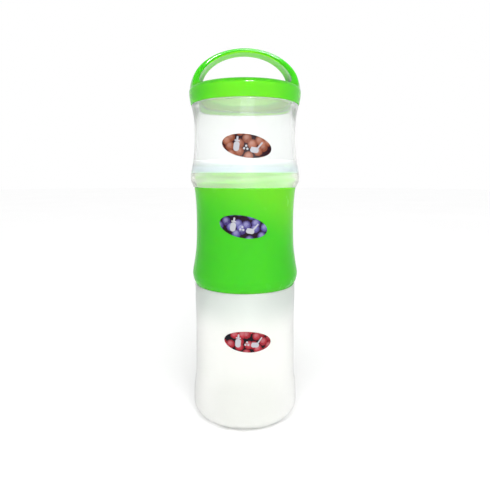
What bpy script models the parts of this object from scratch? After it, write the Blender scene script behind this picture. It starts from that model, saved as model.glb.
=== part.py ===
"""Stackable formula dispenser: three screw-together containers under a lid with a carrying handle.

Metres, +Z up. The origin is the centre of the base, on the surface that the stack stands on.
The handle's arch lies in the XZ plane, and the labels face -Y.
"""
import bpy
import bmesh
import math

MM = 0.001

# ---- driving dimensions ----------------------------------------------------------------------
BASE_BULGE = 40.4 * MM          # widest part of the bottom container
BASE_CORNER = 9.0 * MM          # rounding between its side and its foot
BASE_INNER_CORNER = 6.0 * MM
BASE_FLOOR_TOP = 2.8 * MM
FOOT_RING_INNER = 29.5 * MM     # the flat foot ring ends here and slopes up into a recess
RECESS_RADIUS = 28.0 * MM
RECESS_DEPTH = 1.0 * MM
WALL = 1.8 * MM                 # wall of every container
FLOOR = 1.8 * MM                # floor of every container
FLOOR_BEVEL = 2.5 * MM          # between a stacked container's floor and its inner wall
EDGE_BEVEL = 0.3 * MM           # broken edges of necks, rims and seals
SHOULDER_EDGE = 0.5 * MM        # width of the shoulder's broken edge
GAP = 0.3 * MM                  # clearance kept between pieces that rest on each other

BOTTOM_SHOULDER = 102.7 * MM    # where each container's body ends and its neck starts
MIDDLE_SHOULDER = 174.5 * MM
TOP_SHOULDER = 232.3 * MM
TALL_NECK = 10.4 * MM           # height of the necks between two containers
LID_NECK = 8.7 * MM             # height of the neck under the lid
LID_TOP = 244.3 * MM
LID_RADIUS = 39.8 * MM
LID_ROUNDING = 3.4 * MM         # rounding round the lid's top

NECK_OUTER = 36.1 * MM
NECK_INNER = 34.4 * MM          # also the inside of each container above its waist
SKIRT_INNER = 37.2 * MM         # inside of the skirts that screw over the necks
PLUG_OUTER = 33.9 * MM          # sealing collar that reaches into each neck
PLUG_INNER = 31.5 * MM
GROOVE_RADIUS = 32.7 * MM       # bottom of the seal's groove in the collar
GROOVE_HEIGHT = 1.8 * MM
SEAL_HEIGHT = 1.2 * MM
SEAL_OUTER = 34.0 * MM
COLLAR_TIP = 1.0 * MM           # collar left below the groove
COLLAR_LENGTH = 5.6 * MM        # below a container's floor or the lid's plate
FLOOR_CLEARANCE = 1.7 * MM      # from the top of a neck to the floor or plate above it

THREAD_LEAD = 8.0 * MM          # rise for one full turn
THREAD_STARTS = 2
RIDGE_HEIGHT = 0.7 * MM
RIDGE_ROOT = 1.0 * MM           # half the ridge's width at its buried root
RIDGE_CREST = 0.35 * MM         # half the ridge's width at its crest
RIDGE_BURY = 0.6 * MM           # how deep the ridge is set into its wall
RIDGE_FADE = 0.35 * MM          # how deep its crest sinks into the wall at each end

HANDLE_RISE = 29.0 * MM         # from the arch's centre to its top
HANDLE_CENTRE = 241.0 * MM
HANDLE_RADIUS = 39.4 * MM
HANDLE_TOP_THICKNESS = 2.5 * MM
HANDLE_FOOT_THICKNESS = 4.4 * MM
HANDLE_TOP_WIDTH = 14.0 * MM
HANDLE_FOOT_WIDTH = 37.0 * MM
HANDLE_FILLET = 5.5 * MM        # how far the foot spreads inwards over the lid
HANDLE_FLARE = 1.6              # how late the strap widens towards its feet
HANDLE_DRAFT = 0.94             # the inner face is this much narrower than the outer face
HANDLE_BURY = 0.8 * MM          # how deep each foot is set into the lid's plate
ROOT_SHELF = 1.0 * MM           # depth at which the foot narrows to a root in the lid's side wall
ROOT_DEPTH = 2.8 * MM           # depth of the root's end
ROOT_INNER = 37.7 * MM          # inner radius of the root
HANDLE_STEPS = 26               # sections along the arch

LABEL_HALF_WIDTH = 16.9 * MM
LABEL_HALF_HEIGHT = 7.5 * MM
LABEL_THICKNESS = 0.25 * MM
LABEL_RINGS = 3                 # rings of facets from a label's middle to its edge
LABEL_AROUND = 24               # facets round its edge

TALL_THREAD_START = 2.4 * MM    # height of a neck's ridges above its shoulder
LID_THREAD_START = 2.0 * MM
TALL_THREAD_TURN = math.radians(270.0)
LID_THREAD_TURN = math.radians(180.0)

ROUND_STEPS = 40                # facets in a full turn
SEAM_MERGE = 0.00001            # joins the last facet to the first
SHARP_ANGLE = 0.6               # edges that bend more than this, in radians, stay sharp

# Half outlines as (radius, height) in millimetres, bottom to top.
BOTTOM_SIDE = [(40.4, 10.0), (40.35, 16.0), (39.6, 23.6), (38.7, 30.0), (38.3, 40.0),
               (37.95, 60.0), (37.75, 75.0), (37.95, 88.0), (38.0, 102.0)]
BOTTOM_NECK_INSIDE = [(35.4, 89.0), (34.7, 97.0), (34.4, 104.0)]
MIDDLE_SKIRT = [(38.0, 103.7), (38.9, 106.3), (39.6, 110.2), (39.45, 112.8), (38.4, 118.6)]
MIDDLE_SIDE = [(37.4, 124.7), (36.7, 130.8), (36.3, 138.5), (36.05, 152.0),
               (36.3, 162.0), (36.75, 169.0), (37.3, 173.8)]
TOP_SKIRT = [(38.6, 175.6), (39.6, 178.3), (39.95, 181.5), (39.7, 184.0), (38.6, 189.8)]
TOP_SIDE = [(37.6, 195.5), (37.0, 201.2), (36.5, 209.0), (36.5, 217.5),
            (36.85, 223.5), (37.9, 229.0), (38.4, 231.6)]
LID_SIDE = [(39.1, 233.6), (39.55, 236.5), (39.8, 238.8)]

# Height of each label's middle, its azimuth from -Y to +X, and how far its right end is turned up.
TOP_LABEL = (202.0 * MM, 0.0, math.radians(-8.0))
MIDDLE_LABEL = (149.0 * MM, math.radians(-4.0), math.radians(-10.0))
BOTTOM_LABEL = (68.5 * MM, math.radians(1.0), math.radians(-4.0))

# ---- colours, linear RGBA, and gloss -------------------------------------------------------------
LID_GREEN = (0.12, 0.72, 0.03, 1.0)
LID_ROUGHNESS = 0.2
BODY_GREEN = (0.11, 0.68, 0.03, 1.0)
BODY_ROUGHNESS = 0.25
CLEAR_PLASTIC = (0.90, 0.93, 0.90, 1.0)
CLEAR_ROUGHNESS = 0.2
SILICONE = (0.80, 0.88, 0.84, 1.0)
SILICONE_ROUGHNESS = 0.5
LABEL_ROUGHNESS = 0.35
LABEL_COLOURS = {
    "top_label": (0.50, 0.24, 0.16, 1.0),
    "middle_label": (0.18, 0.16, 0.42, 1.0),
    "bottom_label": (0.50, 0.04, 0.06, 1.0),
}


def clear_scene():
    for item in list(bpy.data.objects):
        bpy.data.objects.remove(item, do_unlink=True)


def plastic(name, colour, roughness):
    """A plain plastic, with no metal in it."""
    material = bpy.data.materials.new(name)
    material.use_nodes = True
    shader = material.node_tree.nodes["Principled BSDF"]
    shader.inputs["Base Color"].default_value = colour
    shader.inputs["Roughness"].default_value = roughness
    shader.inputs["Metallic"].default_value = 0.0
    return material


def add_object(name, mesh, material=None):
    piece = bpy.data.objects.new(name, mesh)
    bpy.context.scene.collection.objects.link(piece)
    if material is not None:
        mesh.materials.append(material)
    return piece


def finish_mesh(work, name):
    """Turn a bmesh into a mesh that is shaded smooth except over sharp edges."""
    mesh = bpy.data.meshes.new(name)
    work.to_mesh(mesh)
    work.free()
    mesh.shade_smooth()
    mesh.set_sharp_from_angle(angle=SHARP_ANGLE)
    return mesh


# ---- turned pieces -------------------------------------------------------------------------------

def in_metres(points):
    return [(radius * MM, height * MM) for radius, height in points]


def arc(centre, radius, start, end, steps):
    """Points on a circular arc in the radius-height plane, angles in degrees."""
    points = []
    for index in range(steps + 1):
        angle = math.radians(start + (end - start) * index / steps)
        points.append((centre[0] + radius * math.cos(angle), centre[1] + radius * math.sin(angle)))
    return points


def turned(name, outline, material, closed=False):
    """Turn an outline of (radius, height) about Z. It runs down the outer side of the piece."""
    work = bmesh.new()
    corners = [work.verts.new((radius, 0.0, height)) for radius, height in outline]
    for first, second in zip(corners, corners[1:]):
        work.edges.new((first, second))
    if closed:
        work.edges.new((corners[-1], corners[0]))
    piece = add_object(name, finish_mesh(work, name), material)
    screw = piece.modifiers.new("turn", "SCREW")
    screw.axis = "Z"
    screw.angle = math.tau
    screw.steps = ROUND_STEPS
    screw.render_steps = ROUND_STEPS
    screw.use_merge_vertices = True
    screw.merge_threshold = SEAM_MERGE
    screw.use_smooth_shade = True
    return piece


def collar_outline(plate_under):
    """Sealing collar below a plate, from its outer root down, round its tip and up inside."""
    tip = plate_under - COLLAR_LENGTH
    groove_low = tip + COLLAR_TIP
    groove_high = groove_low + GROOVE_HEIGHT
    return [
        (PLUG_OUTER, plate_under),
        (PLUG_OUTER, groove_high),
        (GROOVE_RADIUS, groove_high),
        (GROOVE_RADIUS, groove_low),
        (PLUG_OUTER, groove_low),
        (PLUG_OUTER, tip),
        (PLUG_INNER, tip),
        (PLUG_INNER, plate_under),
    ]


def neck_outline(shoulder, neck_height, inside_side, outside_side):
    """From the wall's inside up over the neck and down to the wall's outside."""
    top = shoulder + neck_height
    return inside_side + [
        (NECK_INNER, top - EDGE_BEVEL),
        (NECK_INNER + EDGE_BEVEL, top),
        (NECK_OUTER - EDGE_BEVEL, top),
        (NECK_OUTER, top - EDGE_BEVEL),
        (NECK_OUTER, shoulder),
        (outside_side[0][0] - SHOULDER_EDGE, shoulder),
    ] + outside_side


def inside_of(side, low, waist):
    """The inner wall: it follows the outer side from a height up to the waist."""
    return [(max(radius - WALL, NECK_INNER), height) for radius, height in side if low < height < waist]


def bottom_outline():
    side = in_metres(BOTTOM_SIDE)
    foot = arc((BASE_BULGE - BASE_CORNER, BASE_CORNER), BASE_CORNER, 0.0, -90.0, 5)
    inner_centre = (BASE_BULGE - WALL - BASE_INNER_CORNER, BASE_FLOOR_TOP + BASE_INNER_CORNER)
    inner_corner = arc(inner_centre, BASE_INNER_CORNER, -90.0, 0.0, 4)
    recess = [(FOOT_RING_INNER, 0.0), (RECESS_RADIUS, RECESS_DEPTH), (0.0, RECESS_DEPTH)]
    neck_inside = in_metres(BOTTOM_NECK_INSIDE)
    inside = [(0.0, BASE_FLOOR_TOP)] + inner_corner
    inside += inside_of(side, inner_centre[1] + BASE_INNER_CORNER, neck_inside[0][1]) + neck_inside
    return neck_outline(BOTTOM_SHOULDER, TALL_NECK, inside, side[::-1]) + foot + recess


def stacked_outline(skirt, side, lower_shoulder, shoulder, neck_height):
    """A container that screws onto the neck of the one below it, at lower_shoulder."""
    skirt = in_metres(skirt)
    side = in_metres(side)
    rim = lower_shoulder + GAP
    floor_under = lower_shoulder + TALL_NECK + FLOOR_CLEARANCE
    floor_top = floor_under + FLOOR
    outer = (skirt + side)[::-1]
    corner_height = floor_top + FLOOR_BEVEL
    corner_radius = skirt[-1][0] - WALL
    inside = [(0.0, floor_top), (corner_radius - FLOOR_BEVEL, floor_top), (corner_radius, corner_height)]
    waist = min(side)[1]
    inside += inside_of(side, corner_height, waist)
    inside.append((NECK_INNER, waist))
    edge = [(skirt[0][0] - EDGE_BEVEL, rim), (SKIRT_INNER, rim)]
    under = [(SKIRT_INNER, floor_under)] + collar_outline(floor_under)
    return neck_outline(shoulder, neck_height, inside, outer) + edge + under + [(0.0, floor_under)]


def lid_outline():
    side = in_metres(LID_SIDE)
    rim = TOP_SHOULDER + GAP
    plate_under = TOP_SHOULDER + LID_NECK + FLOOR_CLEARANCE
    top = [(0.0, LID_TOP)]
    top += arc((LID_RADIUS - LID_ROUNDING, LID_TOP - LID_ROUNDING), LID_ROUNDING, 90.0, 0.0, 4)
    edge = [(side[0][0] - EDGE_BEVEL, rim), (SKIRT_INNER, rim)]
    under = [(SKIRT_INNER, plate_under)] + collar_outline(plate_under)
    return top + side[::-1] + edge + under + [(0.0, plate_under)]


def seal(name, plate_under, material):
    """Silicone ring that lies in the groove of a sealing collar."""
    low = plate_under - COLLAR_LENGTH + COLLAR_TIP + GAP
    high = low + SEAL_HEIGHT
    inner = GROOVE_RADIUS + GAP
    outline = [
        (inner, high),
        (SEAL_OUTER - EDGE_BEVEL, high),
        (SEAL_OUTER, high - EDGE_BEVEL),
        (SEAL_OUTER, low + EDGE_BEVEL),
        (SEAL_OUTER - EDGE_BEVEL, low),
        (inner, low),
    ]
    return turned(name, outline, material, closed=True)


# ---- screw threads -------------------------------------------------------------------------------

def thread_ridges(name, wall_radius, outward, start_height, start_angle, turn):
    """Helical ridges on a wall, one for each thread start. They rise anticlockwise: right-handed."""
    sign = 1.0 if outward else -1.0
    steps = round(turn / math.tau * ROUND_STEPS)
    work = bmesh.new()
    for start in range(THREAD_STARTS):
        rings = []
        for index in range(steps + 1):
            angle = start_angle + start * math.tau / THREAD_STARTS + turn * index / steps
            height = start_height + THREAD_LEAD * turn / math.tau * index / steps
            run_out = min(1.0, index / 2.0, (steps - index) / 2.0)
            crest = wall_radius + sign * (RIDGE_HEIGHT * run_out - RIDGE_FADE * (1.0 - run_out))
            root = wall_radius - sign * RIDGE_BURY
            section = [(root, -RIDGE_ROOT), (crest, -RIDGE_CREST), (crest, RIDGE_CREST), (root, RIDGE_ROOT)]
            ring = []
            for radius, offset in section:
                place = (radius * math.cos(angle), radius * math.sin(angle), height + offset)
                ring.append(work.verts.new(place))
            rings.append(ring)
        for ring, following in zip(rings, rings[1:]):
            for corner in range(len(ring)):
                other = (corner + 1) % len(ring)
                work.faces.new((ring[corner], ring[other], following[other], following[corner]))
        work.faces.new(rings[0])
        work.faces.new(rings[-1])
    bmesh.ops.recalc_face_normals(work, faces=work.faces)
    ridges = add_object(name, finish_mesh(work, name))
    as_cutter(ridges)
    return ridges


def as_cutter(piece):
    """Keep a helper out of the finished object."""
    piece.hide_render = True
    piece.display_type = "WIRE"


def join_shape(piece, helper):
    union = piece.modifiers.new(helper.name, "BOOLEAN")
    union.operation = "UNION"
    union.solver = "EXACT"
    union.object = helper


def thread_pair(lower, upper, shoulder, first_height, turn):
    """Matching ridges on a neck and in the skirt over it, half a pitch apart."""
    half_pitch = THREAD_LEAD / THREAD_STARTS / 2.0
    lag = turn / 5.0
    half_facet = math.pi / ROUND_STEPS
    neck_start = shoulder + first_height
    skirt_start = neck_start + half_pitch - THREAD_LEAD * lag / math.tau
    neck_name = lower.name + "_neck_thread"
    skirt_name = upper.name + "_skirt_thread"
    neck_ridges = thread_ridges(neck_name, NECK_OUTER, True, neck_start, half_facet, turn)
    skirt_ridges = thread_ridges(skirt_name, SKIRT_INNER, False, skirt_start, half_facet - lag, turn)
    join_shape(lower, neck_ridges)
    join_shape(upper, skirt_ridges)


# ---- carrying handle -------------------------------------------------------------------------------

def arch_turn(depth):
    """The angle along the arch, from its foot, where its outer face is this deep under the lid's top."""
    return math.asin((LID_TOP - depth - HANDLE_CENTRE) / HANDLE_RISE)


def handle_section(turn, innermost=0.0):
    """Outline across the strap at an angle along the arch: 0 and pi are the feet.

    Its inner face comes no nearer to the lid's axis than the radius innermost.
    """
    rise = math.sin(turn)
    flare = (1.0 - rise) ** HANDLE_FLARE
    half_width = (HANDLE_TOP_WIDTH + (HANDLE_FOOT_WIDTH - HANDLE_TOP_WIDTH) * flare) / 2.0
    growth = (HANDLE_FOOT_THICKNESS - HANDLE_TOP_THICKNESS) * math.cos(turn) ** 2
    thickness = HANDLE_TOP_THICKNESS + growth
    above_lid = HANDLE_RISE * rise + HANDLE_CENTRE - LID_TOP
    spread = HANDLE_FILLET * max(0.0, 1.0 - max(0.0, above_lid) / HANDLE_FILLET) ** 2
    across = [-1.0, -0.5, 0.0, 0.5, 1.0]
    outer = []
    inner = []
    for share in across:
        offset = half_width * share
        reach = math.sqrt(HANDLE_RADIUS ** 2 - offset ** 2)
        outer.append((reach * math.cos(turn), offset, HANDLE_CENTRE + HANDLE_RISE * rise))
        inner_offset = offset * HANDLE_DRAFT
        least_reach = math.sqrt(max(0.0, innermost ** 2 - inner_offset ** 2))
        inner_reach = max(reach - thickness - spread, least_reach)
        inner_rise = (HANDLE_RISE - thickness) * rise
        inner.append((inner_reach * math.cos(turn), inner_offset, HANDLE_CENTRE + inner_rise))
    return outer + inner[::-1]


def handle_arch():
    """The strap, from one foot buried in the lid's plate to the other. A root runs on in its side wall."""
    foot = arch_turn(HANDLE_BURY)
    roots = [arch_turn(ROOT_DEPTH), arch_turn(ROOT_SHELF)]
    sections = [handle_section(turn, ROOT_INNER) for turn in roots]
    for index in range(HANDLE_STEPS + 1):
        sections.append(handle_section(foot + (math.pi - 2.0 * foot) * index / HANDLE_STEPS))
    sections += [handle_section(math.pi - turn, ROOT_INNER) for turn in roots[::-1]]
    work = bmesh.new()
    rings = [[work.verts.new(place) for place in section] for section in sections]
    for ring, following in zip(rings, rings[1:]):
        for corner in range(len(ring)):
            other = (corner + 1) % len(ring)
            work.faces.new((ring[corner], ring[other], following[other], following[corner]))
    work.faces.new(rings[0])
    work.faces.new(rings[-1])
    bmesh.ops.recalc_face_normals(work, faces=work.faces)
    arch = add_object("handle_arch", finish_mesh(work, "handle_arch"))
    as_cutter(arch)
    return arch


# ---- labels ------------------------------------------------------------------------------------------

def radius_at(side, height):
    """Outer radius of a side at a height, in metres."""
    for (low_radius, low), (high_radius, high) in zip(side, side[1:]):
        if low <= height <= high:
            return low_radius + (high_radius - low_radius) * (height - low) / (high - low)
    raise ValueError("height is outside the side")


def label(name, side, placing):
    """Thin oval sticker that follows a container's wall."""
    side = in_metres(side)
    height, azimuth, tilt = placing
    work = bmesh.new()
    faces_of_shell = []
    for lift in (GAP, GAP + LABEL_THICKNESS):
        shell = []
        for ring in range(LABEL_RINGS + 1):
            row = []
            share = ring / LABEL_RINGS
            for index in range(LABEL_AROUND if ring else 1):
                turn = math.tau * index / LABEL_AROUND
                across = LABEL_HALF_WIDTH * share * math.cos(turn)
                upward = LABEL_HALF_HEIGHT * share * math.sin(turn)
                along = across * math.cos(tilt) - upward * math.sin(tilt)
                rise = across * math.sin(tilt) + upward * math.cos(tilt)
                radius = radius_at(side, height + rise) + lift
                angle = azimuth + along / radius
                place = (radius * math.sin(angle), -radius * math.cos(angle), height + rise)
                row.append(work.verts.new(place))
            shell.append(row)
        faces_of_shell.append(shell)
    for shell in faces_of_shell:
        for index in range(LABEL_AROUND):
            other = (index + 1) % LABEL_AROUND
            work.faces.new((shell[0][0], shell[1][index], shell[1][other]))
            for ring in range(1, LABEL_RINGS):
                work.faces.new((shell[ring][index], shell[ring + 1][index],
                                shell[ring + 1][other], shell[ring][other]))
    inner_edge = faces_of_shell[0][-1]
    outer_edge = faces_of_shell[1][-1]
    for index in range(LABEL_AROUND):
        other = (index + 1) % LABEL_AROUND
        work.faces.new((inner_edge[index], inner_edge[other], outer_edge[other], outer_edge[index]))
    bmesh.ops.recalc_face_normals(work, faces=work.faces)
    material = plastic(name, LABEL_COLOURS[name], LABEL_ROUGHNESS)
    return add_object(name, finish_mesh(work, name), material)


# ---- the dispenser ------------------------------------------------------------------------------------

def build():
    clear_scene()
    clear = plastic("clear_plastic", CLEAR_PLASTIC, CLEAR_ROUGHNESS)
    green = plastic("green_plastic", BODY_GREEN, BODY_ROUGHNESS)
    lid_green = plastic("lid_plastic", LID_GREEN, LID_ROUGHNESS)
    silicone = plastic("silicone", SILICONE, SILICONE_ROUGHNESS)

    bottom = turned("bottom_container", bottom_outline(), clear)
    middle_shape = stacked_outline(MIDDLE_SKIRT, MIDDLE_SIDE, BOTTOM_SHOULDER, MIDDLE_SHOULDER, TALL_NECK)
    middle = turned("middle_container", middle_shape, green)
    top_shape = stacked_outline(TOP_SKIRT, TOP_SIDE, MIDDLE_SHOULDER, TOP_SHOULDER, LID_NECK)
    top = turned("top_container", top_shape, clear)
    lid = turned("lid", lid_outline(), lid_green)

    thread_pair(bottom, middle, BOTTOM_SHOULDER, TALL_THREAD_START, TALL_THREAD_TURN)
    thread_pair(middle, top, MIDDLE_SHOULDER, TALL_THREAD_START, TALL_THREAD_TURN)
    thread_pair(top, lid, TOP_SHOULDER, LID_THREAD_START, LID_THREAD_TURN)
    join_shape(lid, handle_arch())

    under_middle = BOTTOM_SHOULDER + TALL_NECK + FLOOR_CLEARANCE
    under_top = MIDDLE_SHOULDER + TALL_NECK + FLOOR_CLEARANCE
    under_lid = TOP_SHOULDER + LID_NECK + FLOOR_CLEARANCE
    seal("middle_seal", under_middle, silicone)
    seal("top_seal", under_top, silicone)
    seal("lid_seal", under_lid, silicone)

    label("top_label", TOP_SKIRT + TOP_SIDE, TOP_LABEL)
    label("middle_label", MIDDLE_SIDE, MIDDLE_LABEL)
    label("bottom_label", BOTTOM_SIDE, BOTTOM_LABEL)


build()
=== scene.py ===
"""Looks of the stackable formula dispenser: fine meshes, plastics, printed stickers, studio and camera.

Outlines are in millimetres as (radius, height); meshes are in metres, in the frame of the CAD part.
"""
import math

import bmesh
import bpy
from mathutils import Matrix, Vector


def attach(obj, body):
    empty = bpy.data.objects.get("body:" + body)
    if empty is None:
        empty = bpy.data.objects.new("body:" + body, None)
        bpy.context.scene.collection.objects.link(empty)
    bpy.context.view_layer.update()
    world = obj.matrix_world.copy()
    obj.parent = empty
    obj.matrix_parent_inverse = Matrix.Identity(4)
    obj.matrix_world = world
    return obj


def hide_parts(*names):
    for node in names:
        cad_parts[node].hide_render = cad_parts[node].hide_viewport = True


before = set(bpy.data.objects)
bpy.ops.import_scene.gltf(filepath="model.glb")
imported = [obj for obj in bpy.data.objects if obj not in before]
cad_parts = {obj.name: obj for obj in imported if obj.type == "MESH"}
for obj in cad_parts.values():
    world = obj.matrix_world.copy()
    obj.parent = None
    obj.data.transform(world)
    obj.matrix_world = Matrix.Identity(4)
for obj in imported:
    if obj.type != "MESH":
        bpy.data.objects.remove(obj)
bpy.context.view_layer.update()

MM = 0.001
AROUND = 144                    # facets in a full turn
SHARP_ANGLE = math.radians(50.0)

# ---- sizes shared by the pieces, in millimetres --------------------------------------------------

WALL = 1.8
BOTTOM_SHOULDER = 102.7
MIDDLE_SHOULDER = 174.5
TOP_SHOULDER = 232.3
TALL_NECK = 10.4
LID_NECK = 8.7
LID_TOP = 244.3
FLOOR = 1.8
FLOOR_CLEARANCE = 1.7           # from the top of a neck to the floor or plate above it
RIM_GAP = 0.12                  # from a shoulder to the skirt that stands over it
BASE_BULGE = 40.4
BASE_CORNER = 9.0
BASE_INNER = 38.6
BASE_INNER_CORNER = 6.0
BASE_FLOOR_TOP = 2.8
FOOT_RING_INNER = 29.5          # the flat foot ring ends here and slopes up into a recess
RECESS_RADIUS = 28.0
RECESS_DEPTH = 1.0
NECK_OUTER = 36.1
NECK_INNER = 34.4
SKIRT_INNER = 37.2
COLLAR_OUTER = 33.9
COLLAR_INNER = 31.5
COLLAR_LENGTH = 5.6
GROOVE = 32.7                   # radius of the groove's bottom
GROOVE_LOW = 1.0                # the groove runs between these heights over the collar's tip
GROOVE_HIGH = 2.8
SEAL_OUTER = 34.25
SEAL_LOW = 1.1
SEAL_HIGH = 2.7

THREAD_LEAD = 8.0
THREAD_STARTS = 2
TALL_THREAD_TURN = 270.0        # degrees of each thread on the two tall necks
LID_THREAD_TURN = 180.0
TALL_THREAD_FOOT = 2.4          # where a thread starts over its shoulder
LID_THREAD_FOOT = 2.0
RIDGE_HEIGHT = 0.7
RIDGE_HALF_WIDTH = 0.85

LABEL_HALF_WIDTH = 16.9
LABEL_HALF_HEIGHT = 7.5
LABEL_OFF_WALL = (0.02, 0.12)   # from the container's wall to the sticker's back and face
PRINT_SPAN = 40.0               # how much of the sticker's flat plane its UV square covers

SKIRT_TOP = 185.1               # the top container's skirt ends here, at the neck inside it
HAZE_TOP = 193.5                # its thick corner over the skirt ends here

BOTTOM_SIDE = [(BASE_BULGE, 10.0), (40.3, 16.0), (39.6, 23.6), (38.7, 30.0), (38.3, 40.0),
               (37.95, 60.0), (37.75, 75.0), (37.9, 88.0), (38.0, 101.6)]
MIDDLE_SIDE = [(37.7, 103.9), (38.9, 106.3), (39.6, 110.2), (39.4, 112.9), (38.4, 118.6),
               (37.4, 124.7), (36.7, 130.8), (36.3, 138.5), (36.05, 152.0),
               (36.25, 162.0), (36.7, 169.0), (37.2, 173.4)]
TOP_SIDE = [(38.3, 175.5), (39.5, 178.3), (39.9, 181.5), (39.65, 184.0), (38.6, 189.8),
            (37.6, 195.5), (37.0, 201.2), (36.5, 209.0), (36.45, 217.5),
            (36.85, 223.5), (37.8, 229.0), (38.2, 231.2)]
LID_SIDE = [(39.0, 233.2), (39.55, 236.5), (39.8, 239.0), (39.85, 240.7)]
LID_ROUNDING = 3.4


# ---- outlines ------------------------------------------------------------------------------------

def spline(points, steps=6):
    """A smooth line through the points."""
    ends = [tuple(2 * a - b for a, b in zip(points[0], points[1]))]
    last = [tuple(2 * a - b for a, b in zip(points[-1], points[-2]))]
    knots = ends + points + last
    line = []
    for index in range(1, len(knots) - 2):
        p0, p1, p2, p3 = knots[index - 1:index + 3]
        for step in range(steps):
            t = step / steps
            line.append(tuple(
                0.5 * (2 * b + (c - a) * t + (2 * a - 5 * b + 4 * c - d) * t * t
                       + (3 * b - a - 3 * c + d) * t ** 3)
                for a, b, c, d in zip(p0, p1, p2, p3)))
    line.append(points[-1])
    return line


def rounded(corners, steps=5):
    """Corners as (radius, height, rounding): a line with an arc at each corner that has a rounding."""
    line = []
    for index, (x, z, rounding) in enumerate(corners):
        here = Vector((x, z))
        if not rounding or index in (0, len(corners) - 1):
            line.append((x, z))
            continue
        back = Vector(corners[index - 1][:2]) - here
        ahead = Vector(corners[index + 1][:2]) - here
        half_angle = back.angle(ahead) / 2.0
        reach = min(rounding / math.tan(half_angle), back.length * 0.5, ahead.length * 0.5)
        radius = reach * math.tan(half_angle)
        centre = here + (back.normalized() + ahead.normalized()).normalized() * (
            radius / math.sin(half_angle))
        first = here + back.normalized() * reach - centre
        last = here + ahead.normalized() * reach - centre
        sweep = first.angle_signed(last)
        for step in range(steps + 1):
            turn = -sweep * step / steps
            line.append((centre.x + first.x * math.cos(turn) - first.y * math.sin(turn),
                         centre.y + first.x * math.sin(turn) + first.y * math.cos(turn)))
    return line


def ruled(start, end, spacing):
    """Evenly spaced points between two ends, without the ends."""
    count = max(2, round(math.dist(start, end) / spacing))
    return [tuple(a + (b - a) * step / count for a, b in zip(start, end)) for step in range(1, count)]


# ---- meshes --------------------------------------------------------------------------------------

def ridge(angle, height, thread):
    """How far a thread stands out at an angle and height, from 0 to 1."""
    best = 0.0
    for start in range(THREAD_STARTS):
        offset = (angle - thread["angle"] - math.tau * start / THREAD_STARTS) % math.tau
        for run in (offset, offset - math.tau):
            past_end = max(-run, run - thread["turn"], 0.0)
            fade = max(0.0, 1.0 - past_end / 0.25)
            distance = abs(height - thread["height"] - THREAD_LEAD * run / math.tau)
            share = min(1.0, max(0.0, (RIDGE_HALF_WIDTH - distance) / 0.45))
            best = max(best, fade * share * share * (3 - 2 * share))
    return best


def lathe(name, outline, threads=(), closed=False):
    """Turn an outline about Z. It runs down the outer side. Threads push their walls in or out."""
    work = bmesh.new()
    rings = []
    for radius, height in outline:
        if radius < 1e-6:
            rings.append([work.verts.new((0.0, 0.0, height * MM))])
            continue
        ring = []
        for index in range(AROUND):
            angle = math.tau * index / AROUND
            out = radius
            for thread in threads:
                on_wall = abs(radius - thread["wall"]) < 0.01
                if on_wall and thread["low"] < height < thread["high"]:
                    out += thread["way"] * RIDGE_HEIGHT * ridge(angle, height, thread)
            ring.append(work.verts.new((out * math.cos(angle) * MM, out * math.sin(angle) * MM,
                                        height * MM)))
        rings.append(ring)
    pairs = list(zip(rings, rings[1:]))
    if closed:
        pairs.append((rings[-1], rings[0]))
    for upper, lower in pairs:
        for index in range(AROUND):
            after = (index + 1) % AROUND
            if len(upper) == 1:
                work.faces.new((upper[0], lower[index], lower[after]))
            elif len(lower) == 1:
                work.faces.new((upper[index], lower[0], upper[after]))
            else:
                work.faces.new((upper[index], lower[index], lower[after], upper[after]))
    return shaded(name, work)


def shaded(name, work):
    """Turn a bmesh into an object that is smooth except over its sharp edges."""
    bmesh.ops.recalc_face_normals(work, faces=work.faces)
    mesh = bpy.data.meshes.new(name)
    work.to_mesh(mesh)
    work.free()
    mesh.shade_smooth()
    mesh.set_sharp_from_angle(angle=SHARP_ANGLE)
    piece = bpy.data.objects.new(name, mesh)
    bpy.context.scene.collection.objects.link(piece)
    return piece


def neck_thread(shoulder, first_height, turn):
    return {"wall": NECK_OUTER, "way": 1.0, "low": shoulder + 0.5, "high": shoulder + 10.0,
            "height": shoulder + first_height, "angle": 0.0, "turn": math.radians(turn)}


def skirt_thread(shoulder, first_height, turn):
    lag = math.radians(turn) / 5.0
    half_pitch = THREAD_LEAD / THREAD_STARTS / 2.0
    height = shoulder + first_height + half_pitch - THREAD_LEAD * lag / math.tau
    return {"wall": SKIRT_INNER, "way": -1.0, "low": shoulder + 0.8, "high": shoulder + 12.0,
            "height": height, "angle": -lag, "turn": math.radians(turn)}


def neck(shoulder, neck_height, body_radius):
    """Over a container's neck, from inside its shoulder to the outside of its body."""
    top = shoulder + neck_height
    inside = rounded([(NECK_INNER, shoulder + 2.0, 0.0), (NECK_INNER, top, 0.6),
                      (NECK_OUTER, top, 0.6), (NECK_OUTER, top - 1.5, 0.0)])
    wall = ruled((NECK_OUTER, top - 1.5), (NECK_OUTER, shoulder + 0.4), 0.22)
    foot = rounded([(NECK_OUTER, shoulder + 0.4, 0.0), (NECK_OUTER, shoulder, 0.3),
                    (body_radius, shoulder, 0.9), (body_radius, shoulder - 1.2, 0.0)])
    return inside + wall + foot


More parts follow.
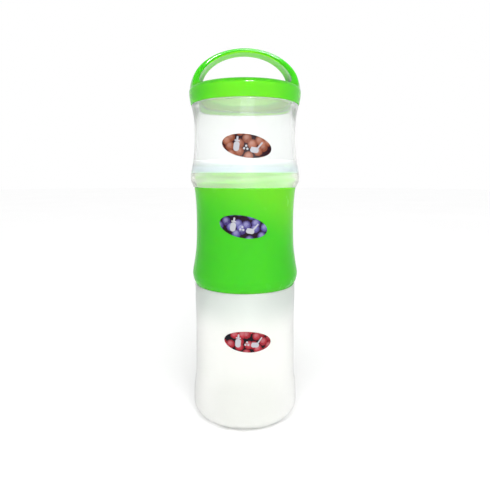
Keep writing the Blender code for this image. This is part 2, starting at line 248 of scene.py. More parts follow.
def collar(plate_under):
    """Sealing collar under a plate: outer root, groove, tip, inner root."""
    tip = plate_under - COLLAR_LENGTH
    return rounded([
        (SKIRT_INNER, plate_under, 0.0), (COLLAR_OUTER, plate_under, 0.3),
        (COLLAR_OUTER, tip + GROOVE_HIGH, 0.15), (GROOVE, tip + GROOVE_HIGH, 0.15),
        (GROOVE, tip + GROOVE_LOW, 0.15), (COLLAR_OUTER, tip + GROOVE_LOW, 0.15),
        (COLLAR_OUTER, tip, 0.4), (COLLAR_INNER, tip, 0.5),
        (COLLAR_INNER, plate_under, 0.8), (0.0, plate_under, 0.0)], steps=3)[1:]


def inner_wall(side, low, waist, top):
    """The inner wall: it follows the outside up to the waist, then closes in smoothly to the neck."""
    wall = [(radius - WALL, height) for radius, height in side if low < height < waist]
    wall = [(max(radius, NECK_INNER), height) for radius, height in wall]
    reach = top - waist
    for share in (0.25, 0.5, 0.75, 1.0):
        ease = share * share * (3 - 2 * share)
        wall.append((start_radius(side, waist) * (1 - ease) + NECK_INNER * ease, waist + reach * share))
    return spline(wall, 5)


def start_radius(side, waist):
    return max(NECK_INNER, side_radius(side, waist) - WALL)


def bottom_container():
    inside = rounded([(0.0, BASE_FLOOR_TOP, 0.0), (BASE_INNER, BASE_FLOOR_TOP, BASE_INNER_CORNER),
                      (BASE_INNER, 12.0, 0.0)], steps=8)
    inside += inner_wall(BOTTOM_SIDE, 12.5, 74.0, BOTTOM_SHOULDER + 1.0)
    outside = spline(BOTTOM_SIDE)[::-1][1:]
    foot = rounded([(BASE_BULGE, 20.0, 0.0), (BASE_BULGE, 0.0, BASE_CORNER), (20.0, 0.0, 0.0)],
                   steps=14)[1:-1]
    foot += rounded([(FOOT_RING_INNER + 1.0, 0.0, 0.0), (FOOT_RING_INNER, 0.0, 0.4),
                     (RECESS_RADIUS, RECESS_DEPTH, 0.4), (0.0, RECESS_DEPTH, 0.0)], steps=3)
    outline = inside + neck(BOTTOM_SHOULDER, TALL_NECK, 38.0) + outside + foot
    thread = neck_thread(BOTTOM_SHOULDER, TALL_THREAD_FOOT, TALL_THREAD_TURN)
    return lathe("bottom_container_shell", outline, [thread])


def stacked_container(name, side, below, shoulder, neck_height, thread_foot, thread_turn):
    """A container with a skirt that screws over the neck of the one below it."""
    rim = below + RIM_GAP
    floor_under = below + TALL_NECK + FLOOR_CLEARANCE
    floor_top = floor_under + FLOOR
    top_radius = side[-1][0]
    corner = spline(side, 4)
    wide = max(radius for radius, height in corner if height > floor_top + 4.0) - WALL
    inside = rounded([(0.0, floor_top, 0.0), (wide, floor_top, 3.5), (wide - 0.2, floor_top + 4.5, 0.0)],
                     steps=8)
    inside += inner_wall(side, floor_top + 5.5, min(side)[1], shoulder)
    outside = spline(side)[::-1]
    rim_line = rounded([outside[-1] + (0.0,), (side[0][0] - 0.3, rim, 0.6),
                        (SKIRT_INNER, rim, 0.3), (SKIRT_INNER, rim + 0.7, 0.0)])
    skirt = ruled((SKIRT_INNER, rim + 0.7), (SKIRT_INNER, floor_under), 0.22)
    outline = inside + neck(shoulder, neck_height, top_radius + 0.1) + outside[:-1]
    outline += rim_line + skirt + [(SKIRT_INNER, floor_under)] + collar(floor_under)
    return lathe(name, outline, [neck_thread(shoulder, thread_foot, thread_turn),
                                 skirt_thread(below, TALL_THREAD_FOOT, TALL_THREAD_TURN)])


def lid_cap():
    rim = TOP_SHOULDER + RIM_GAP
    plate_under = TOP_SHOULDER + LID_NECK + FLOOR_CLEARANCE
    outside = spline(LID_SIDE)[::-1]
    widest = LID_SIDE[-1][0]
    top = rounded([(0.0, LID_TOP, 0.0), (widest, LID_TOP, LID_ROUNDING),
                   (widest, LID_TOP - 2.0 * LID_ROUNDING, 0.0)], steps=12)
    rim_line = rounded([outside[-1] + (0.0,), (38.8, rim, 0.4), (SKIRT_INNER, rim, 0.3),
                        (SKIRT_INNER, rim + 0.6, 0.0)])
    skirt = ruled((SKIRT_INNER, rim + 0.6), (SKIRT_INNER, plate_under), 0.22)
    outline = top[:-1] + outside[:-1] + rim_line + skirt
    outline += [(SKIRT_INNER, plate_under)] + collar(plate_under)
    return lathe("lid_cap", outline, [skirt_thread(TOP_SHOULDER, LID_THREAD_FOOT, LID_THREAD_TURN)])


def seal_ring(name, plate_under):
    """Silicone ring in the groove of a sealing collar."""
    low = plate_under - COLLAR_LENGTH + SEAL_LOW
    high = plate_under - COLLAR_LENGTH + SEAL_HIGH
    middle = (GROOVE + SEAL_OUTER) / 2.0
    inner = GROOVE + 0.05
    outline = rounded([(middle, high, 0.0), (SEAL_OUTER, high, 0.5), (SEAL_OUTER, low, 0.5),
                       (inner, low, 0.3), (inner, high, 0.3), (middle, high, 0.0)])
    return lathe(name, outline[:-1], closed=True)


# ---- the carrying handle -------------------------------------------------------------------------

HANDLE = {"rise": 29.0, "centre": 241.0, "radius": 39.4, "top_thickness": 2.5, "foot_thickness": 4.4,
          "top_width": 14.0, "foot_width": 37.0, "fillet": 5.5, "edge": 1.2, "root_thickness": 2.0}
FOOT_DEPTH = 0.8                # how deep each foot is set into the lid's plate
ROOT_DEPTHS = (2.8, 1.0)        # its root runs on in the lid's side wall between these depths


def strap_edge(half_width, half_thickness, rounding):
    """Points round the strap's section as shares of its half width and half thickness."""
    points = []
    flats = 8
    corners = [(1, 1, 0.0), (-1, 1, 90.0), (-1, -1, 180.0), (1, -1, 270.0)]
    for side, (across, through, start) in enumerate(corners):
        centre = (across * (half_width - rounding), through * (half_thickness - rounding))
        for step in range(6):
            turn = math.radians(start + 90.0 * step / 5)
            points.append((centre[0] + rounding * math.cos(turn), centre[1] + rounding * math.sin(turn)))
        following = corners[(side + 1) % 4]
        target = (following[0] * (half_width - rounding) if side % 2 == 0 else across * half_width,
                  following[1] * (half_thickness - rounding) if side % 2 else through * half_thickness)
        count = flats if side % 2 == 0 else 2
        begin = points[-1]
        for step in range(1, count):
            points.append(tuple(a + (b - a) * step / count for a, b in zip(begin, target)))
    return [(x / half_width, y / half_thickness) for x, y in points]


def arch_turn(depth):
    """The angle along the arch where its outer face is this deep under the lid's top."""
    return math.asin((LID_TOP - depth - HANDLE["centre"]) / HANDLE["rise"])


def strap_ring(turn, root=False):
    rise = math.sin(turn)
    flare = max(0.0, 1.0 - rise) ** 1.6
    half_width = (HANDLE["top_width"] + (HANDLE["foot_width"] - HANDLE["top_width"]) * flare) / 2.0
    growth = (HANDLE["foot_thickness"] - HANDLE["top_thickness"]) * math.cos(turn) ** 2
    thickness = HANDLE["top_thickness"] + growth
    above = max(0.0, HANDLE["rise"] * rise + HANDLE["centre"] - LID_TOP)
    spread = HANDLE["fillet"] * max(0.0, 1.0 - above / HANDLE["fillet"]) ** 2
    depth = HANDLE["root_thickness"] if root else thickness + spread
    ring = []
    for across, through in strap_edge(half_width, thickness / 2.0, HANDLE["edge"]):
        offset = half_width * across
        inward = (1.0 - through) / 2.0
        reach = math.sqrt(HANDLE["radius"] ** 2 - offset ** 2) - depth * inward
        height = HANDLE["centre"] + (HANDLE["rise"] - thickness * inward) * rise
        ring.append((reach * math.cos(turn) * MM, offset * MM, height * MM))
    return ring


def handle_strap():
    foot = arch_turn(FOOT_DEPTH)
    roots = [arch_turn(depth) for depth in ROOT_DEPTHS]
    steps = 90
    lines = [strap_ring(turn, root=True) for turn in roots]
    lines += [strap_ring(foot + (math.pi - 2.0 * foot) * step / steps) for step in range(steps + 1)]
    lines += [strap_ring(math.pi - turn, root=True) for turn in roots[::-1]]
    work = bmesh.new()
    rings = [[work.verts.new(place) for place in line] for line in lines]
    for ring, following in zip(rings, rings[1:]):
        for corner in range(len(ring)):
            other = (corner + 1) % len(ring)
            work.faces.new((ring[corner], ring[other], following[other], following[corner]))
    work.faces.new(rings[0])
    work.faces.new(rings[-1])
    return shaded("handle_strap", work)


def merge_into(piece, helper):
    """Join a helper to a piece as one moulding, and remove the helper."""
    union = piece.modifiers.new("join", "BOOLEAN")
    union.operation = "UNION"
    union.solver = "EXACT"
    union.object = helper
    bpy.context.view_layer.update()
    graph = bpy.context.evaluated_depsgraph_get()
    joined = bpy.data.meshes.new_from_object(piece.evaluated_get(graph))
    piece.modifiers.clear()
    piece.data = joined
    joined.set_sharp_from_angle(angle=SHARP_ANGLE)
    bpy.data.objects.remove(helper, do_unlink=True)
    return piece


# ---- materials -----------------------------------------------------------------------------------

UP = (0.0, 0.0, 1.0)
RIGHT = (1.0, 0.0, 0.0)
UP_AND_RIGHT = (0.4, 0.0, 1.0)
PLASTIC_IOR = 1.49
SOFT_IOR = 1.35                 # a lower one keeps the thick edges of the clear container pale


def node_material(name):
    material = bpy.data.materials.new(name)
    material.use_nodes = True
    nodes = material.node_tree.nodes
    return material, nodes, material.node_tree.links, nodes["Principled BSDF"]


def noise(nodes, links, scale, detail=3.0, stretch=(1.0, 1.0, 1.0)):
    """A noise texture in the piece's own coordinates, in metres."""
    place = nodes.new("ShaderNodeTexCoord")
    mapping = nodes.new("ShaderNodeMapping")
    mapping.inputs["Scale"].default_value = stretch
    texture = nodes.new("ShaderNodeTexNoise")
    texture.inputs["Scale"].default_value = scale
    texture.inputs["Detail"].default_value = detail
    links.new(place.outputs["Object"], mapping.inputs["Vector"])
    links.new(mapping.outputs["Vector"], texture.inputs["Vector"])
    return texture


def ramp(nodes, links, source, low, high, start=0.3, end=0.7):
    """Colours between two ends, spread over the middle of a texture's range."""
    colours = nodes.new("ShaderNodeValToRGB")
    colours.color_ramp.elements[0].position = start
    colours.color_ramp.elements[1].position = end
    colours.color_ramp.elements[0].color = low + (1.0,)
    colours.color_ramp.elements[1].color = high + (1.0,)
    links.new(source, colours.inputs["Fac"])
    return colours.outputs["Color"]


def spread(nodes, links, source, low, high):
    """A number between two ends, from a texture."""
    spreader = nodes.new("ShaderNodeMapRange")
    spreader.inputs["From Min"].default_value = 0.3
    spreader.inputs["From Max"].default_value = 0.7
    spreader.inputs["To Min"].default_value = low
    spreader.inputs["To Max"].default_value = high
    links.new(source, spreader.inputs["Value"])
    return spreader.outputs["Result"]


def moulded(name, light, dark, roughness, gloss):
    """Moulded plastic: faint flow marks in the colour and a slightly uneven gloss."""
    material, nodes, links, shader = node_material(name)
    flow = noise(nodes, links, 28.0, 4.0, (1.0, 1.0, 0.35))
    links.new(ramp(nodes, links, flow.outputs["Fac"], dark, light), shader.inputs["Base Color"])
    grain = noise(nodes, links, 60.0, 2.0)
    links.new(spread(nodes, links, grain.outputs["Fac"], *roughness), shader.inputs["Roughness"])
    shader.inputs["IOR"].default_value = PLASTIC_IOR
    shader.inputs["Specular IOR Level"].default_value = gloss
    return material


def see_through(material, share, ior=PLASTIC_IOR):
    """Let a share of the light pass through the wall's surface."""
    shader = material.node_tree.nodes["Principled BSDF"]
    shader.inputs["Transmission Weight"].default_value = share
    shader.inputs["IOR"].default_value = ior


def glowing(material, depth):
    """Let light spread inside the wall, to a depth in metres."""
    shader = material.node_tree.nodes["Principled BSDF"]
    shader.inputs["Subsurface Weight"].default_value = 1.0
    shader.inputs["Subsurface Radius"].default_value = (0.7, 1.0, 0.12)
    shader.inputs["Subsurface Scale"].default_value = depth


def tinted(material, colour, share_of_place):
    """Turn the colour to another one over part of the piece, by a share worked out from the place."""
    nodes = material.node_tree.nodes
    links = material.node_tree.links
    shader = nodes["Principled BSDF"]
    place = nodes.new("ShaderNodeTexCoord")
    share = share_of_place(nodes, links, place)
    plain = shader.inputs["Base Color"].links[0].from_socket
    links.new(mixed(nodes, links, share, plain, colour), shader.inputs["Base Color"])


def measured(nodes, links, place, direction):
    """How far the surface lies along a direction, in metres."""
    return vectors(nodes, links, "DOT_PRODUCT", place.outputs["Object"], direction).outputs["Value"]


def facing_up(nodes, links, place):
    """How much a face looks up, from -1 to 1."""
    return vectors(nodes, links, "DOT_PRODUCT", place.outputs["Normal"], UP).outputs["Value"]


def sides_for_painted_shading(nodes, links, place):
    """Both sides of a piece, towards either end of X, for painted shading: sides tinted lighter or darker
    in place of how the light falls.
    """
    sideways = arithmetic(nodes, links, "ABSOLUTE", measured(nodes, links, place, RIGHT))
    return fade(nodes, links, sideways, 10.0 * MM, 34.0 * MM)


def painted_light_upper_right(nodes, links, place):
    """The upper part of the middle container, and more of it towards +X, for painted light: it is tinted
    lighter where the light falls.
    """
    return fade(nodes, links, measured(nodes, links, place, UP_AND_RIGHT), 145.0 * MM, 182.0 * MM)


def painted_shade_lower_sides(nodes, links, place):
    """The middle container's sides, below its painted light at the upper right, for painted shade: they
    are tinted darker.
    """
    lower = fade(nodes, links, measured(nodes, links, place, UP_AND_RIGHT), 155.0 * MM, 132.0 * MM)
    return arithmetic(nodes, links, "MULTIPLY", sides_for_painted_shading(nodes, links, place), lower)


def painted_shade_near_neck(nodes, links, place):
    """The top of the bottom container, for painted shade: it is tinted darker and faintly green under the
    green container above.
    """
    return fade(nodes, links, measured(nodes, links, place, UP), 70.0 * MM, 95.0 * MM)


def near_floor(nodes, links, place):
    """The foot of the top container's room, where the floor and the skirt thicken its wall."""
    return fade(nodes, links, measured(nodes, links, place, UP), 194.0 * MM, 186.5 * MM)


def painted_shade_upward(nodes, links, place):
    """Faces that look up, for painted shade: the lid's upward faces are tinted darker."""
    return fade(nodes, links, facing_up(nodes, links, place), 0.0, 0.45)


def painted_shade_over_lid(nodes, links, place):
    """The handle's arch, for painted shade: it is tinted darker than the lid."""
    return fade(nodes, links, measured(nodes, links, place, UP), 244.6 * MM, 247.0 * MM)


def painted_glow_under_arch(nodes, links, place):
    """The inner face of the handle's arch, for painted light: it is tinted bright lime in place of the
    light that shines through the thin strap.
    """
    above_lid = fade(nodes, links, measured(nodes, links, place, UP), 244.6 * MM, 245.2 * MM)
    downward = fade(nodes, links, facing_up(nodes, links, place), -0.35, -0.80)
    return arithmetic(nodes, links, "MULTIPLY", above_lid, downward)


def painted_glow_inside_lid(nodes, links, place):
    """The inside of the lid: its thin sealing collar, its threads, and the underside of its plate, for
    painted light: tinted bright lime in place of light shining through the thin green plastic.
    """
    flat = vectors(nodes, links, "MULTIPLY", place.outputs["Object"], (1.0, 1.0, 0.0)).outputs["Vector"]
    radius = vectors(nodes, links, "LENGTH", flat, (0.0, 0.0, 0.0)).outputs["Value"]
    inner = fade(nodes, links, radius, 38.0 * MM, 37.4 * MM)
    under = fade(nodes, links, measured(nodes, links, place, UP), 243.6 * MM, 243.0 * MM)
    return arithmetic(nodes, links, "MULTIPLY", inner, under)


def put_on(piece, material):
    piece.data.materials.clear()
    piece.data.materials.append(material)


# ---- labels --------------------------------------------------------------------------------------

def side_radius(side, height):
    line = spline(side)
    for (low_radius, low), (high_radius, high) in zip(line, line[1:]):
        if low <= height <= high:
            return low_radius + (high_radius - low_radius) * (height - low) / (high - low)
    raise ValueError("height is outside the side")


def label_patch(name, side, height, azimuth, tilt):
    """Oval sticker wrapped on a container's wall."""
    rings = 10
    around = 72
    work = bmesh.new()
    uv = work.loops.layers.uv.new("UVMap")
    shells = []
    flat = {}
    for level in LABEL_OFF_WALL:
        shell = []
        for ring in range(rings + 1):
            share = ring / rings
            row = []
            for index in range(around if ring else 1):
                turn = math.tau * index / around
                across = LABEL_HALF_WIDTH * share * math.cos(turn)
                upright = LABEL_HALF_HEIGHT * share * math.sin(turn)
                turned = across * math.cos(tilt) - upright * math.sin(tilt)
                rise = across * math.sin(tilt) + upright * math.cos(tilt)
                radius = side_radius(side, height + rise) + level
                angle = azimuth + turned / radius
                vert = work.verts.new((radius * math.sin(angle) * MM, -radius * math.cos(angle) * MM,
                                       (height + rise) * MM))
                flat[vert] = (0.5 + across / PRINT_SPAN, 0.5 + upright / PRINT_SPAN)
                row.append(vert)
            shell.append(row)
        shells.append(shell)
    for shell in shells:
        for ring in range(rings):
            for index in range(around):
                after = (index + 1) % around
                if len(shell[ring]) == 1:
                    work.faces.new((shell[ring][0], shell[ring + 1][index], shell[ring + 1][after]))
                else:
                    work.faces.new((shell[ring][index], shell[ring + 1][index],
                                    shell[ring + 1][after], shell[ring][after]))
    for index in range(around):
        after = (index + 1) % around
        work.faces.new((shells[0][-1][index], shells[0][-1][after],
                        shells[1][-1][after], shells[1][-1][index]))
    for face in work.faces:
        for loop in face.loops:
            loop[uv].uv = flat[loop.vert]
    return shaded(name, work)


def arithmetic(nodes, links, operation, *values):
    """A Math node fed with sockets or numbers."""
    node = nodes.new("ShaderNodeMath")
    node.operation = operation
    for socket, value in zip(node.inputs, values):
        if isinstance(value, (int, float)):
            socket.default_value = value
        else:
            links.new(value, socket)
    return node.outputs["Value"]


def vectors(nodes, links, operation, first, second):
    node = nodes.new("ShaderNodeVectorMath")
    node.operation = operation
    for socket, value in zip(node.inputs, (first, second)):
        if isinstance(value, tuple):
            socket.default_value = value
        else:
            links.new(value, socket)
    return node


def capsule(nodes, links, place, start, end, radius):
    """Distance in millimetres from a place on the sticker to a rod with round ends."""
    along = Vector(end + (0.0,)) - Vector(start + (0.0,))
    offset = vectors(nodes, links, "SUBTRACT", place, start + (0.0,)).outputs["Vector"]
    share = vectors(nodes, links, "DOT_PRODUCT", offset, tuple(along)).outputs["Value"]
    share = arithmetic(nodes, links, "DIVIDE", share, max(along.length_squared, 1e-6))
    share = arithmetic(nodes, links, "MAXIMUM", arithmetic(nodes, links, "MINIMUM", share, 1.0), 0.0)
    nearest = nodes.new("ShaderNodeVectorMath")
    nearest.operation = "SCALE"
    nearest.inputs[0].default_value = tuple(along)
    links.new(share, nearest.inputs["Scale"])
    apart = vectors(nodes, links, "DISTANCE", offset, nearest.outputs["Vector"]).outputs["Value"]
    return arithmetic(nodes, links, "SUBTRACT", apart, radius)


def mixed(nodes, links, factor, first, second):
    """A colour between two, which are sockets or plain colours."""
    mix = nodes.new("ShaderNodeMix")
    mix.data_type = "RGBA"
    links.new(factor, mix.inputs["Factor"])
    for name, colour in (("A", first), ("B", second)):
        if isinstance(colour, tuple):
            mix.inputs[name].default_value = colour + (1.0,)
        else:
            links.new(colour, mix.inputs[name])
    return mix.outputs["Result"]


def fade(nodes, links, value, start, end, low=0.0, high=1.0):
    """A smooth step from one number to another while a value runs from start to end."""
    step = nodes.new("ShaderNodeMapRange")
    step.interpolation_type = "SMOOTHSTEP"
    step.inputs["From Min"].default_value = start
    step.inputs["From Max"].default_value = end
    step.inputs["To Min"].default_value = low
    step.inputs["To Max"].default_value = high
    links.new(value, step.inputs["Value"])
    return step.outputs["Result"]


# A feeding bottle, three grains and a measuring scoop: rods as (start, end, radius) in millimetres.
BOTTLE = [((-6.8, -2.4), (-6.8, 0.0), 1.9), ((-8.1, 2.5), (-5.5, 2.5), 0.45),
          ((-6.8, 3.4), (-6.8, 4.6), 0.6)]
GRAINS = [((-1.6, -1.9), (-1.6, -1.9), 0.7), ((0.5, -1.9), (0.5, -1.9), 0.7),
          ((-0.5, -0.1), (-0.5, -0.1), 0.7)]
SCOOP = [((4.0, -2.1), (6.4, -2.1), 1.6), ((3.2, -0.6), (7.2, -0.6), 0.4), ((7.0, -0.8), (9.6, 3.2), 0.5)]


def fruit_print(name, dark, mid, pale, gap, shift):
    """A printed picture of crowded round fruit under white icons, in the sticker's own flat plane."""
    material, nodes, links, shader = node_material(name)
    uv = nodes.new("ShaderNodeTexCoord")
    place = nodes.new("ShaderNodeMapping")
    place.inputs["Location"].default_value = (-PRINT_SPAN / 2.0, -PRINT_SPAN / 2.0, 0.0)
    place.inputs["Scale"].default_value = (PRINT_SPAN, PRINT_SPAN, 1.0)
    links.new(uv.outputs["UV"], place.inputs["Vector"])
    place = place.outputs["Vector"]
    moved = vectors(nodes, links, "ADD", place, shift).outputs["Vector"]
    cells = nodes.new("ShaderNodeTexVoronoi")
    cells.voronoi_dimensions = "2D"
    cells.inputs["Scale"].default_value = 0.17
    cells.inputs["Randomness"].default_value = 0.95
    links.new(moved, cells.inputs["Vector"])
    grain = nodes.new("ShaderNodeTexNoise")
    grain.inputs["Scale"].default_value = 1.3
    grain.inputs["Detail"].default_value = 3.0
    links.new(moved, grain.inputs["Vector"])
    rough_edge = arithmetic(nodes, links, "MULTIPLY_ADD",
                            grain.outputs["Fac"], 0.26, cells.outputs["Distance"])
    hue = nodes.new("ShaderNodeSeparateColor")
    links.new(cells.outputs["Color"], hue.inputs["Color"])
    skin = mixed(nodes, links, fade(nodes, links, hue.outputs["Red"], 0.0, 1.0), dark, mid)
    skin = mixed(nodes, links, fade(nodes, links, grain.outputs["Fac"], 0.45, 0.8, 0.0, 0.6), skin, pale)
    offset = vectors(nodes, links, "SUBTRACT", moved, cells.outputs["Position"]).outputs["Vector"]
    glint = vectors(nodes, links, "DISTANCE", offset, (-0.6, 0.9, 0.0)).outputs["Value"]
    lit = mixed(nodes, links, fade(nodes, links, glint, 0.4, 2.8, 0.6, 0.0), skin, pale)
    shaded_rim = mixed(nodes, links, fade(nodes, links, rough_edge, 0.35, 0.62, 0.0, 0.75), lit, dark)
    picture = mixed(nodes, links, fade(nodes, links, rough_edge, 0.60, 0.68), shaded_rim, gap)
    nearest = None
    for start, end, radius in BOTTLE + GRAINS + SCOOP:
        rod = capsule(nodes, links, place, start, end, radius)
        nearest = rod if nearest is None else arithmetic(nodes, links, "MINIMUM", nearest, rod)
    icons = fade(nodes, links, nearest, -0.08, 0.12, 1.0, 0.0)
    links.new(mixed(nodes, links, icons, picture, (0.36, 0.36, 0.39)), shader.inputs["Base Color"])
    links.new(fade(nodes, links, grain.outputs["Fac"], 0.3, 0.7, 0.25, 0.4), shader.inputs["Roughness"])
    shader.inputs["Specular IOR Level"].default_value = 0.1
    return material


# ---- studio and camera ---------------------------------------------------------------------------

def area_light(name, azimuth, elevation, distance, width, height, power, colour, aim):
    light = bpy.data.lights.new(name, "AREA")
    light.shape = "RECTANGLE"
    light.size = width
    light.size_y = height
    light.energy = power
    light.color = colour
    lamp = bpy.data.objects.new(name, light)
    bpy.context.scene.collection.objects.link(lamp)
    turn = math.radians(azimuth)
    up = math.radians(elevation)
    back = Vector((math.sin(turn) * math.cos(up), -math.cos(turn) * math.cos(up), math.sin(up)))
    lamp.location = aim + back * distance
    lamp.rotation_euler = (-back).to_track_quat("-Z", "Y").to_euler()
    return lamp


WALL_LIGHT = 0.5                # how bright matt surfaces see the surroundings
CEILING_ELEVATION = math.radians(62.0)
CEILING_SPREAD = math.radians(60.0)


def studio():
    """White surroundings, a pale floor that fades into them, and a soft key near the camera."""
    world = bpy.data.worlds.new("studio")
    bpy.context.scene.world = world
    world.use_nodes = True
    world.cycles.sampling_method = "NONE"
    nodes = world.node_tree.nodes
    links = world.node_tree.links
    background = nodes["Background"]
    background.inputs["Color"].default_value = (1.0, 1.0, 1.0, 1.0)
    path = nodes.new("ShaderNodeLightPath")
    strength = fade(nodes, links, path.outputs["Is Diffuse Ray"], 0.0, 1.0, 1.0, WALL_LIGHT)
    links.new(strength, background.inputs["Strength"])

    work = bmesh.new()
    bmesh.ops.create_circle(work, cap_ends=True, radius=6.0, segments=96)
    floor = shaded("studio_floor", work)
    material, nodes, links, shader = node_material("studio_floor")
    dust = noise(nodes, links, 3.0)
    links.new(ramp(nodes, links, dust.outputs["Fac"], (0.97, 0.97, 0.97), (0.985, 0.985, 0.985)),
              shader.inputs["Base Color"])
    shader.inputs["Roughness"].default_value = 0.9
    shader.inputs["Specular IOR Level"].default_value = 0.0
    put_on(floor, material)

    aim = Vector((0.0, 0.0, 0.15))
    key = area_light("key", 7.5, 34.0, 0.9, 0.20, 0.07, 24.0, (1.0, 1.0, 1.0), aim)
    key.visible_diffuse = False
    front = area_light("front", 4.0, 8.0, 1.6, 0.9, 0.9, 18.0, (1.0, 1.0, 1.0), aim)
    front.visible_glossy = False
    ceiling = bpy.data.lights.new("ceiling", "SUN")
    ceiling.energy = (1.0 - WALL_LIGHT) * math.pi / math.sin(CEILING_ELEVATION)
    ceiling.angle = CEILING_SPREAD
    lamp = bpy.data.objects.new("ceiling", ceiling)
    lamp.rotation_euler = (math.pi / 2.0 - CEILING_ELEVATION, 0.0, 0.0)
    lamp.visible_glossy = False
    bpy.context.scene.collection.objects.link(lamp)


SENSOR_WIDTH = 36.0             # millimetres
FOCAL_LENGTH = 30.94            # millimetres
CAMERA_AZIMUTH = math.radians(-2.0)
CAMERA_PITCH = 0.162            # radians below level
CAMERA_DISTANCE = 0.3159        # metres from the stack's axis
CAMERA_HEIGHT = 0.1832


def camera():
    """A wide phone-like lens close to the stack, level with its upper joint and looking down a little."""
    lens = bpy.data.cameras.new("camera")
    lens.sensor_width = SENSOR_WIDTH
    lens.lens = FOCAL_LENGTH
    eye = bpy.data.objects.new("camera", lens)
    bpy.context.scene.collection.objects.link(eye)
    eye.location = (CAMERA_DISTANCE * math.sin(CAMERA_AZIMUTH),
                    -CAMERA_DISTANCE * math.cos(CAMERA_AZIMUTH), CAMERA_HEIGHT)
    eye.rotation_euler = (math.pi / 2.0 - CAMERA_PITCH, 0.0, CAMERA_AZIMUTH)
    bpy.context.scene.camera = eye


# ---- the dispenser -------------------------------------------------------------------------------

milky = moulded("milky_plastic", (0.94, 0.945, 0.92), (0.93, 0.935, 0.91), (0.28, 0.34), 0.5)
# painted light: the milky container's sides tinted lighter than its middle
tinted(milky, (1.0, 1.0, 0.985), sides_for_painted_shading)
# painted shade: the bottom container darker and faintly green towards its neck
tinted(milky, (0.76, 0.80, 0.77), painted_shade_near_neck)
see_through(milky, 0.74)
clear = moulded("clear_plastic", (0.99, 1.0, 1.0), (0.98, 0.995, 0.995), (0.07, 0.10), 0.5)
see_through(clear, 0.97, SOFT_IOR)
veiled = moulded("veiled_plastic", (0.96, 0.97, 0.965), (0.95, 0.965, 0.96), (0.09, 0.12), 0.5)
see_through(veiled, 0.79, SOFT_IOR)
hazy = moulded("hazy_plastic", (0.97, 0.98, 0.97), (0.96, 0.97, 0.96), (0.12, 0.16), 0.5)
tinted(hazy, (0.82, 0.93, 0.97), near_floor)
see_through(hazy, 0.52, SOFT_IOR)
skirt = moulded("skirt_plastic", (0.80, 0.75, 0.70), (0.79, 0.74, 0.69), (0.04, 0.06), 0.5)
# painted light: the skirt's sides tinted lighter than its darker middle
tinted(skirt, (0.96, 0.96, 0.88), sides_for_painted_shading)
see_through(skirt, 0.70, SOFT_IOR)
green = moulded("green_plastic", (0.056, 0.46, 0.017), (0.050, 0.445, 0.016), (0.22, 0.28), 0.08)
# painted light: the middle container tinted lighter at its upper right
tinted(green, (0.130, 0.52, 0.019), painted_light_upper_right)
# painted shade: the middle container's lower sides tinted darker
tinted(green, (0.040, 0.40, 0.014), painted_shade_lower_sides)
glowing(green, 0.004)
lid_green = moulded("lid_plastic", (0.135, 0.59, 0.018), (0.125, 0.57, 0.016), (0.08, 0.11), 0.12)
# painted shade: the lid's sides tinted darker than its front
tinted(lid_green, (0.070, 0.48, 0.014), sides_for_painted_shading)
# painted shade: the lid's upward faces tinted darker
tinted(lid_green, (0.054, 0.38, 0.008), painted_shade_upward)
# painted shade: the handle's arch tinted darker
tinted(lid_green, (0.045, 0.44, 0.009), painted_shade_over_lid)
# painted light: the inside of the lid tinted bright lime, as a glow
tinted(lid_green, (0.37, 0.97, 0.03), painted_glow_inside_lid)
# painted light: the underside of the handle's arch tinted bright lime, as a glow
tinted(lid_green, (0.36, 0.95, 0.03), painted_glow_under_arch)
glowing(lid_green, 0.008)
silicone = moulded("silicone", (0.95, 1.0, 0.97), (0.93, 0.99, 0.95), (0.25, 0.35), 0.3)
see_through(silicone, 0.95)

bottom = bottom_container()
put_on(bottom, milky)
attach(bottom, "bottom")
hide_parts("bottom_container")

middle = stacked_container("middle_container_shell", MIDDLE_SIDE, BOTTOM_SHOULDER, MIDDLE_SHOULDER,
                           TALL_NECK, TALL_THREAD_FOOT, TALL_THREAD_TURN)
put_on(middle, green)
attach(middle, "middle")
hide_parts("middle_container")

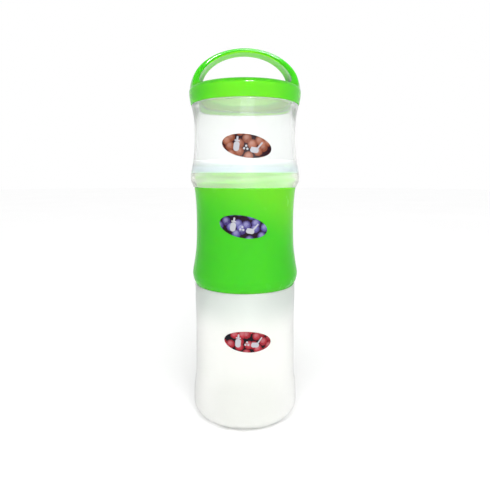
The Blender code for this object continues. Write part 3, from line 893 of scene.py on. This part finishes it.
top = stacked_container("top_container_shell", TOP_SIDE, MIDDLE_SHOULDER, TOP_SHOULDER,
                        LID_NECK, LID_THREAD_FOOT, LID_THREAD_TURN)
put_on(top, clear)
for material in (veiled, hazy, skirt):
    top.data.materials.append(material)
for face in top.data.polygons:
    outward = face.normal.x * face.center.x + face.normal.y * face.center.y
    if outward > 0.0 and math.hypot(face.center.x, face.center.y) > NECK_OUTER * MM:
        height = face.center.z / MM
        face.material_index = 3 if height < SKIRT_TOP else 2 if height < HAZE_TOP else 1
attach(top, "top")
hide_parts("top_container")

lid = merge_into(lid_cap(), handle_strap())
put_on(lid, lid_green)
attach(lid, "cap")
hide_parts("lid")

SEALS = [("middle", BOTTOM_SHOULDER + TALL_NECK), ("top", MIDDLE_SHOULDER + TALL_NECK),
         ("lid", TOP_SHOULDER + LID_NECK)]
for place, neck_top in SEALS:
    ring = seal_ring(place + "_seal_ring", neck_top + FLOOR_CLEARANCE)
    put_on(ring, silicone)
    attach(ring, place + "_ring")
    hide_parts(place + "_seal")

# place, print, wall, height, azimuth and tilt, tones (dark, mid, pale, gap), and shift of the picture
LABELS = [
    ("top", "brown_print", TOP_SIDE, 202.0, 0.0, -8.0,
     ((0.15, 0.035, 0.015), (0.29, 0.10, 0.055), (0.34, 0.19, 0.15), (0.016, 0.003, 0.006)),
     (1.5, 2.0, 0.0)),
    ("middle", "violet_print", MIDDLE_SIDE, 149.0, -4.0, -10.0,
     ((0.03, 0.015, 0.10), (0.09, 0.085, 0.29), (0.26, 0.25, 0.40), (0.010, 0.002, 0.008)),
     (13.0, 5.0, 0.0)),
    ("bottom", "red_print", BOTTOM_SIDE, 68.5, 1.0, -4.0,
     ((0.20, 0.005, 0.012), (0.34, 0.025, 0.035), (0.38, 0.15, 0.17), (0.005, 0.005, 0.008)),
     (27.0, 9.0, 0.0)),
]
for place, slot_name, side, height, azimuth, tilt, tones, shift in LABELS:
    sticker = label_patch(place + "_sticker", side, height, math.radians(azimuth), math.radians(tilt))
    put_on(sticker, fruit_print(slot_name, *tones, shift))
    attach(sticker, place)
    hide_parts(place + "_label")

studio()
camera()
bpy.context.scene.view_settings.view_transform = "Standard"
